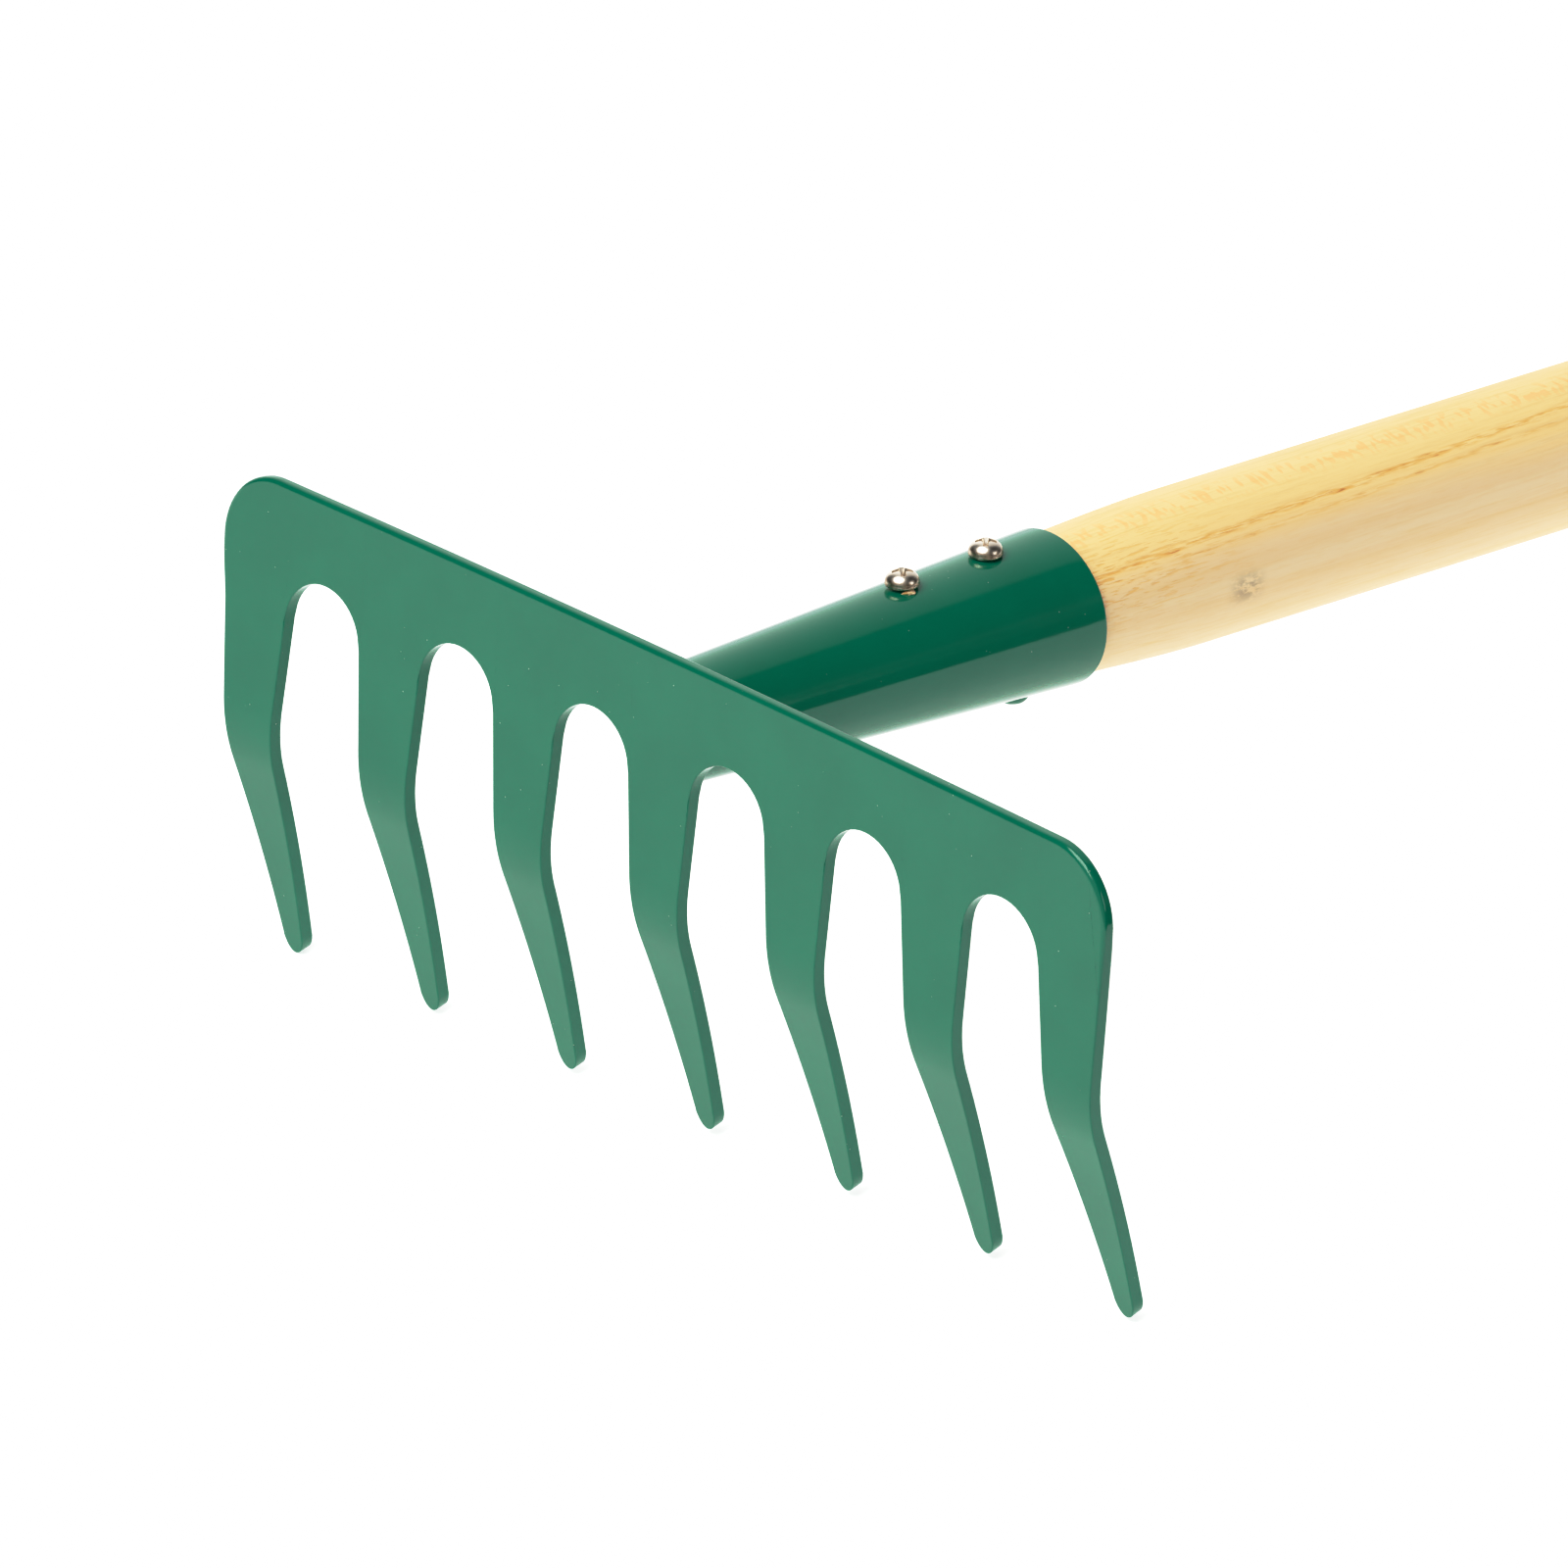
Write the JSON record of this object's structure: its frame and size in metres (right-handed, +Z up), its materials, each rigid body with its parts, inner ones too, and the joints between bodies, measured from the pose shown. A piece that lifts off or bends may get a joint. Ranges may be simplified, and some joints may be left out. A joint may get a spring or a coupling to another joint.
{
  "type": "garden rake",
  "caption": "Light garden rake: flat stamped bar with tapered tines bent towards the handle, conical sheet socket fixed with screws, round wooden handle with a tapered nose.",
  "frame": {"origin": "middle of the footprint of the rake as it rests on level ground, tine tips and handle end at z = 0", "axes": "+X along the bar, +Y along the handle away from the head, +Z up"},
  "size_m": [0.2022, 0.7814, 0.0848],
  "materials": {
    "green_enamel": "glossy stoved enamel over steel sheet",
    "pale_wood": "sanded and thinly sealed, grain along the handle",
    "nickel": "bright nickel plate"
  },
  "bodies": {
    "root": {"rake_head": "green_enamel", "socket": "green_enamel", "socket_weld": "green_enamel", "seam_tack": "green_enamel", "handle": "pale_wood", "front_screw": "nickel", "rear_screw": "nickel"}
  },
  "joints": []
}
